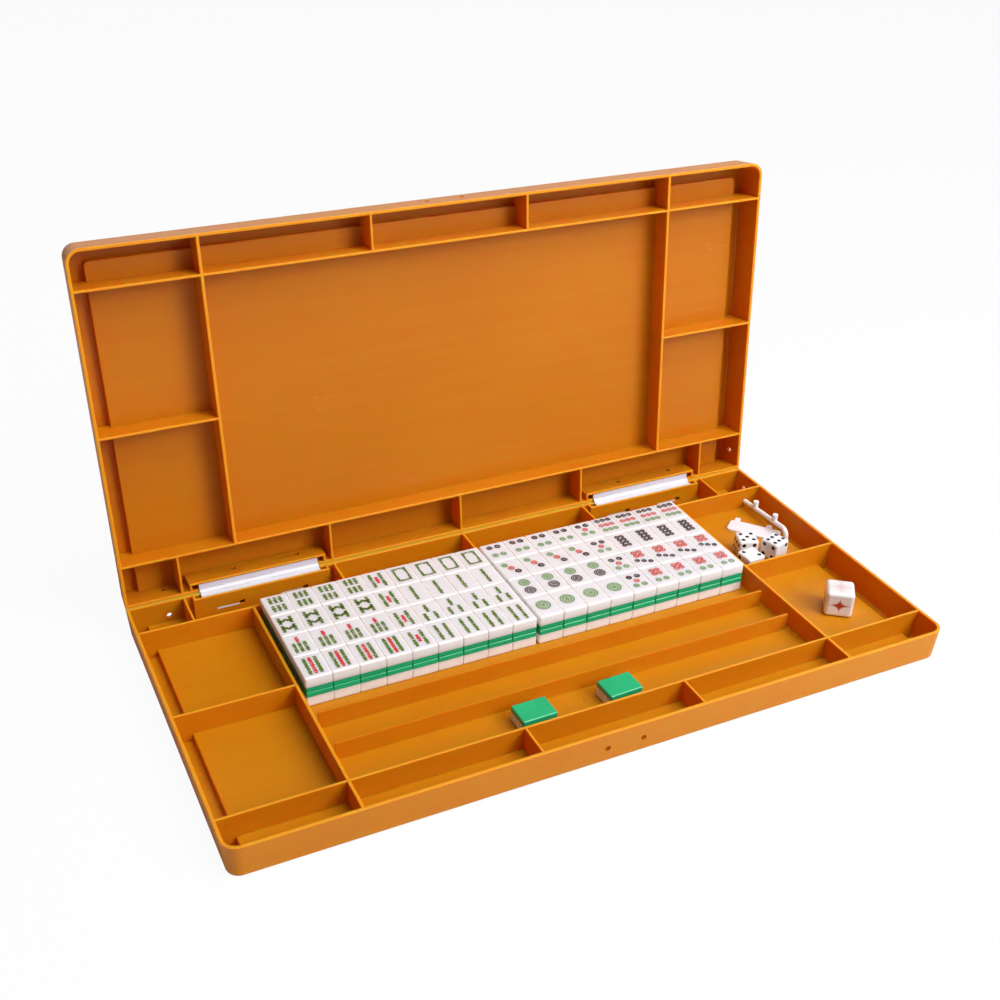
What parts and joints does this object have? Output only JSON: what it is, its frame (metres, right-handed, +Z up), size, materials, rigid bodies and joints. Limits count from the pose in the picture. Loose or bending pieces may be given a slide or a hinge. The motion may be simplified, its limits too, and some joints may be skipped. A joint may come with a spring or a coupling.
{
  "type": "folding mahjong case",
  "caption": "Folding carrying case of moulded trays with compartments, pinned hinges and a push-in clasp, holding mahjong tiles, dice and a dealer die.",
  "frame": {"origin": "centre of the bounding box at the level the case rests on, with the lid open", "axes": "+X along the hinge to the right, +Y from the front edge to the hinge and the lid, +Z up"},
  "size_m": [0.46, 0.2672, 0.2471],
  "materials": {
    "case_plastic": "satin moulded, orange brown",
    "hinge_plastic": "smooth white",
    "tile_ivory": "polished ivory",
    "tile_green": "polished green",
    "dice_plastic": "polished white",
    "clasp_plastic": "smooth white"
  },
  "bodies": {
    "base": {"base_tray": "case_plastic", "hinge_left_base_leaf": "hinge_plastic", "hinge_right_base_leaf": "hinge_plastic", "hinge_left_pin": "hinge_plastic", "hinge_right_pin": "hinge_plastic"},
    "lid": {"lid_tray": "case_plastic", "hinge_left_lid_leaf": "hinge_plastic", "hinge_right_lid_leaf": "hinge_plastic"},
    "left_lower_tiles": {"tiles_left_lower_row_1_faces": "tile_ivory", "tiles_left_lower_row_2_faces": "tile_ivory", "tiles_left_lower_row_3_faces": "tile_ivory", "tiles_left_lower_row_4_faces": "tile_ivory", "tiles_left_lower_row_1_backs": "tile_green", "tiles_left_lower_row_2_backs": "tile_green", "tiles_left_lower_row_3_backs": "tile_green", "tiles_left_lower_row_4_backs": "tile_green"},
    "left_upper_tiles": {"tiles_left_upper_row_1_faces": "tile_ivory", "tiles_left_upper_row_2_faces": "tile_ivory", "tiles_left_upper_row_3_faces": "tile_ivory", "tiles_left_upper_row_4_faces": "tile_ivory", "tiles_left_upper_row_1_backs": "tile_green", "tiles_left_upper_row_2_backs": "tile_green", "tiles_left_upper_row_3_backs": "tile_green", "tiles_left_upper_row_4_backs": "tile_green"},
    "left_loose_tile": {"loose_tile_left_face": "tile_ivory", "loose_tile_left_back": "tile_green"},
    "right_lower_tiles": {"tiles_right_lower_row_1_faces": "tile_ivory", "tiles_right_lower_row_2_faces": "tile_ivory", "tiles_right_lower_row_3_faces": "tile_ivory", "tiles_right_lower_row_4_faces": "tile_ivory", "tiles_right_lower_row_1_backs": "tile_green", "tiles_right_lower_row_2_backs": "tile_green", "tiles_right_lower_row_3_backs": "tile_green", "tiles_right_lower_row_4_backs": "tile_green"},
    "right_upper_tiles": {"tiles_right_upper_row_1_faces": "tile_ivory", "tiles_right_upper_row_2_faces": "tile_ivory", "tiles_right_upper_row_3_faces": "tile_ivory", "tiles_right_upper_row_4_faces": "tile_ivory", "tiles_right_upper_row_1_backs": "tile_green", "tiles_right_upper_row_2_backs": "tile_green", "tiles_right_upper_row_3_backs": "tile_green", "tiles_right_upper_row_4_backs": "tile_green"},
    "right_loose_tile": {"loose_tile_right_face": "tile_ivory", "loose_tile_right_back": "tile_green"},
    "die_back": {"die_back": "dice_plastic"},
    "die_front": {"die_front": "dice_plastic"},
    "die_right": {"die_right": "dice_plastic"},
    "dealer_die": {"dealer_die": "dice_plastic"},
    "latch_plate": {"clasp_plate": "clasp_plastic"},
    "latch_bar": {"clasp_bar": "clasp_plastic"}
  },
  "joints": [
    {"name": "lid_hinge", "type": "hinge", "parent": "base", "child": "lid", "pos_m": [0, 0.09234, 0.022], "axis": [-1, 0, 0], "range_deg": [-95, 85]},
    {"name": "left_lower_tiles_lift", "type": "slide", "parent": "base", "child": "left_lower_tiles", "axis": [0, 0, 1], "range_m": [0, 0.05]},
    {"name": "left_upper_tiles_lift", "type": "slide", "parent": "left_lower_tiles", "child": "left_upper_tiles", "axis": [0, 0, 1], "range_m": [0, 0.05]},
    {"name": "left_loose_tile_lift", "type": "slide", "parent": "base", "child": "left_loose_tile", "axis": [0, 0, 1], "range_m": [0, 0.05]},
    {"name": "right_lower_tiles_lift", "type": "slide", "parent": "base", "child": "right_lower_tiles", "axis": [0, 0, 1], "range_m": [0, 0.05]},
    {"name": "right_upper_tiles_lift", "type": "slide", "parent": "right_lower_tiles", "child": "right_upper_tiles", "axis": [0, 0, 1], "range_m": [0, 0.05]},
    {"name": "right_loose_tile_lift", "type": "slide", "parent": "base", "child": "right_loose_tile", "axis": [0, 0, 1], "range_m": [0, 0.05]},
    {"name": "die_back_lift", "type": "slide", "parent": "base", "child": "die_back", "axis": [0, 0, 1], "range_m": [0, 0.05]},
    {"name": "die_front_lift", "type": "slide", "parent": "base", "child": "die_front", "axis": [0, 0, 1], "range_m": [0, 0.05]},
    {"name": "die_right_lift", "type": "slide", "parent": "base", "child": "die_right", "axis": [0, 0, 1], "range_m": [0, 0.05]},
    {"name": "dealer_die_lift", "type": "slide", "parent": "base", "child": "dealer_die", "axis": [0, 0, 1], "range_m": [0, 0.05]},
    {"name": "latch_plate_lift", "type": "slide", "parent": "base", "child": "latch_plate", "axis": [0, 0, 1], "range_m": [0, 0.05]},
    {"name": "latch_bar_lift", "type": "slide", "parent": "latch_plate", "child": "latch_bar", "axis": [0, 0, 1], "range_m": [0, 0.05]}
  ]
}
